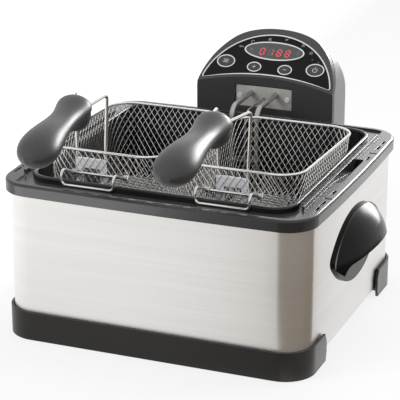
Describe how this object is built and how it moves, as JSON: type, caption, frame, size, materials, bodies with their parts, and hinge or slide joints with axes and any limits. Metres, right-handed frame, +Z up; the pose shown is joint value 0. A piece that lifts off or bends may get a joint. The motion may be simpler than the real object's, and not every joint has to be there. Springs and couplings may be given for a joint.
{
  "type": "deep fryer",
  "caption": "Electric deep fryer with a brushed steel housing, lift-out oil pot, wire baskets with drain hooks, immersion element and a docked digital control head.",
  "frame": {"origin": "on the floor, under the middle of the housing's footprint", "axes": "+X to the right of someone facing the controls' front, +Y from the basket handles to the control head at the back, +Z up"},
  "size_m": [0.4626, 0.6023, 0.3223],
  "materials": {
    "steel_shell": "fine brushed stainless steel",
    "base_plastic": "moulded black plastic, slight sheen",
    "pad_rubber": "grey-black rubber",
    "zinc_sheet": "zinc-plated steel sheet",
    "zinc_screws": "zinc-plated",
    "rim_plastic": "semi-gloss black plastic",
    "handle_plastic": "glossy black plastic",
    "pot_coating": "glossy black non-stick coating",
    "head_black": "glossy black plastic",
    "head_grey": "dark grey glossy plastic",
    "bright_trim": "bright plated trim",
    "display_glass": "dark red tinted window",
    "indicator_red": "indicator lenses",
    "panel_black": "printed black film",
    "button_black": "satin black plastic",
    "switch_plastic": "moulded component plastic",
    "board_green": "solder-masked glass-fibre board",
    "pin_brass": "plated pins",
    "element_steel": "stainless steel tube, heat-dulled",
    "probe_steel": "bright capillary tube",
    "lead_silicone": "pale silicone-covered lead",
    "basket_wire": "bright plated steel wire",
    "grip_plastic": "glossy dark grey plastic"
  },
  "bodies": {
    "housing": {"outer_shell": "steel_shell", "front_foot": "base_plastic", "rear_foot": "base_plastic", "foot_pads": "pad_rubber", "bottom_plate": "zinc_sheet", "base_screws": "zinc_screws", "top_rim": "rim_plastic", "tie_rods": "zinc_screws", "right_carry_handle": "handle_plastic", "left_carry_handle": "handle_plastic", "handle_screws": "zinc_screws", "head_cradle": "base_plastic", "cradle_screws": "zinc_screws"},
    "pot": {"oil_pot": "pot_coating"},
    "head": {"head_front_cover": "head_black", "head_rear_cover": "head_grey", "cover_screws": "zinc_screws", "display_ring": "bright_trim", "display_window": "display_glass", "button_rings": "bright_trim", "indicator_lenses": "indicator_red", "control_panel": "panel_black", "panel_trim": "bright_trim", "button_switches": "switch_plastic", "display_module": "switch_plastic", "control_board": "board_green", "power_board": "board_green", "board_screws": "zinc_screws", "power_inlet": "base_plastic", "inlet_pins": "pin_brass", "interlock_switch": "switch_plastic", "element_plate": "element_steel", "element_screws": "zinc_screws", "heating_element": "element_steel", "thermostat_probe": "probe_steel", "element_clip": "element_steel", "thermal_cutout": "switch_plastic", "element_leads": "lead_silicone"},
    "menu_key": {"menu_button": "button_black"},
    "plus_key": {"plus_button": "button_black"},
    "minus_key": {"minus_button": "button_black"},
    "power_key": {"power_button": "button_black"},
    "left_basket": {"left_basket_walls": "basket_wire", "left_basket_floor": "basket_wire", "left_basket_rim": "basket_wire", "left_handle_bracket": "basket_wire", "left_handle_wires": "basket_wire", "left_handle_grip": "grip_plastic", "left_drain_hook": "basket_wire"},
    "right_basket": {"right_basket_walls": "basket_wire", "right_basket_floor": "basket_wire", "right_basket_rim": "basket_wire", "right_handle_bracket": "basket_wire", "right_handle_wires": "basket_wire", "right_handle_grip": "grip_plastic", "right_drain_hook": "basket_wire"}
  },
  "joints": [
    {"name": "pot_lift", "type": "slide", "parent": "housing", "child": "pot", "axis": [0, 0, 1], "range_m": [0, 0.16]},
    {"name": "head_lift", "type": "slide", "parent": "pot", "child": "head", "axis": [0, 0, 1], "range_m": [0, 0.15]},
    {"name": "left_basket_lift", "type": "slide", "parent": "head", "child": "left_basket", "axis": [0, 0, 1], "range_m": [0, 0.13]},
    {"name": "right_basket_lift", "type": "slide", "parent": "head", "child": "right_basket", "axis": [0, 0, 1], "range_m": [0, 0.13]},
    {"name": "menu_press", "type": "slide", "parent": "head", "child": "menu_key", "axis": [0, 0.6947, -0.7193], "range_m": [0, 0.0008], "stiffness_N_per_m": 250, "springref_m": -0.0006},
    {"name": "plus_press", "type": "slide", "parent": "head", "child": "plus_key", "axis": [0, 0.6947, -0.7193], "range_m": [0, 0.0008], "stiffness_N_per_m": 250, "springref_m": -0.0006},
    {"name": "minus_press", "type": "slide", "parent": "head", "child": "minus_key", "axis": [0, 0.6947, -0.7193], "range_m": [0, 0.0008], "stiffness_N_per_m": 250, "springref_m": -0.0006},
    {"name": "power_press", "type": "slide", "parent": "head", "child": "power_key", "axis": [0, 0.6947, -0.7193], "range_m": [0, 0.0008], "stiffness_N_per_m": 250, "springref_m": -0.0006}
  ]
}
